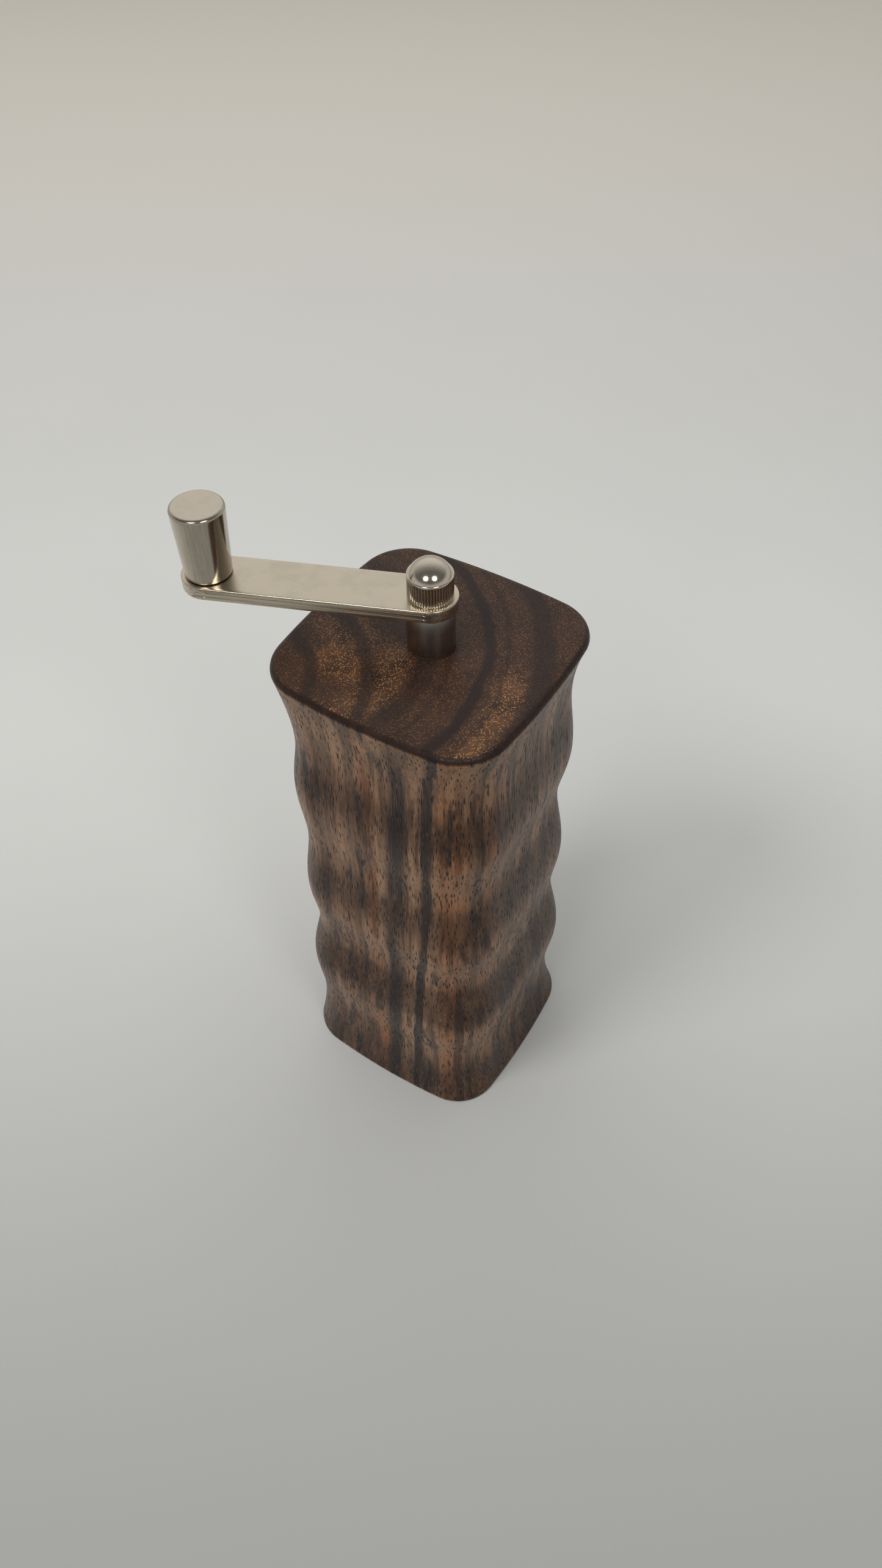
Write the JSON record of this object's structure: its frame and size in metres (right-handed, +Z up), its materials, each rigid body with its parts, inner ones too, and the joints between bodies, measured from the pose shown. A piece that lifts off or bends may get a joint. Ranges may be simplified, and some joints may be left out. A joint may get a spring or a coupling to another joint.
{
  "type": "hand-crank coffee grinder",
  "caption": "Hand-cranked burr coffee grinder with a waved wooden block body, flat metal crank, turning handle and grind-adjusting top nut.",
  "frame": {"origin": "centre of the block's base on the drive shaft's axis", "axes": "+Z up along the drive shaft, the block's wide faces look along +-Y and +-X, the crank rests pointing 22.7 degrees past -X towards -Y"},
  "size_m": [0.0955, 0.07, 0.2109],
  "materials": {
    "walnut": "oiled dark walnut",
    "brass": "turned",
    "nylon": "natural nylon",
    "sleeve_metal": "turned satin",
    "arm_metal": "satin nickel",
    "nut_metal": "knurled grip, polished dome",
    "handle_metal": "satin nickel",
    "shaft_steel": "ground",
    "spring_steel": "dark spring steel",
    "burr_steel": "hardened, ground teeth",
    "screw_steel": "zinc plated",
    "carrier_alloy": "machined",
    "cup_plastic": "fine matt black",
    "seal_rubber": "black"
  },
  "bodies": {
    "mill_body": {"body_block": "walnut", "top_bush": "brass", "insert_ring": "brass", "insert_screws": "screw_steel", "burr_carrier": "carrier_alloy", "outer_burr": "burr_steel", "burr_keys": "shaft_steel", "bearing_spider": "carrier_alloy", "spider_bush": "brass", "spider_circlip": "spring_steel"},
    "crank": {"crank_arm": "arm_metal", "spacer_sleeve": "sleeve_metal", "thrust_washer": "nylon", "handle_pin": "shaft_steel", "handle_clip": "spring_steel"},
    "spindle": {"drive_shaft": "shaft_steel", "inner_burr": "burr_steel", "burr_washer": "shaft_steel", "burr_nut": "shaft_steel", "spring_washer": "shaft_steel", "burr_spring": "spring_steel"},
    "adjuster": {"adjusting_nut": "nut_metal"},
    "handle": {"handle_shell": "handle_metal", "handle_bush": "nylon"},
    "cup": {"grounds_cup": "cup_plastic", "cup_seal": "seal_rubber"}
  },
  "joints": [
    {"name": "crank_turn", "type": "hinge", "parent": "mill_body", "child": "crank", "pos_m": [0, 0, 0.1743], "axis": [0, 0, 1], "continuous": true},
    {"name": "nut_turn", "type": "hinge", "parent": "crank", "child": "adjuster", "pos_m": [0, 0, 0.1908], "axis": [0, 0, 1], "range_deg": [-180, 540]},
    {"name": "spindle_lift", "type": "slide", "parent": "crank", "child": "spindle", "axis": [0, 0, 1], "range_m": [-0.0012, 0.0004], "deforming": ["burr_spring"]},
    {"name": "handle_spin", "type": "hinge", "parent": "crank", "child": "handle", "pos_m": [-0.05263, -0.02202, 0.1908], "axis": [0, 0, 1], "continuous": true},
    {"name": "cup_pull", "type": "slide", "parent": "mill_body", "child": "cup", "axis": [0, 0, -1], "range_m": [0, 0.06]}
  ],
  "couplings": [
    {"joint": "nut_turn", "follows": "spindle_lift", "rad_per_m": -7854}
  ]
}
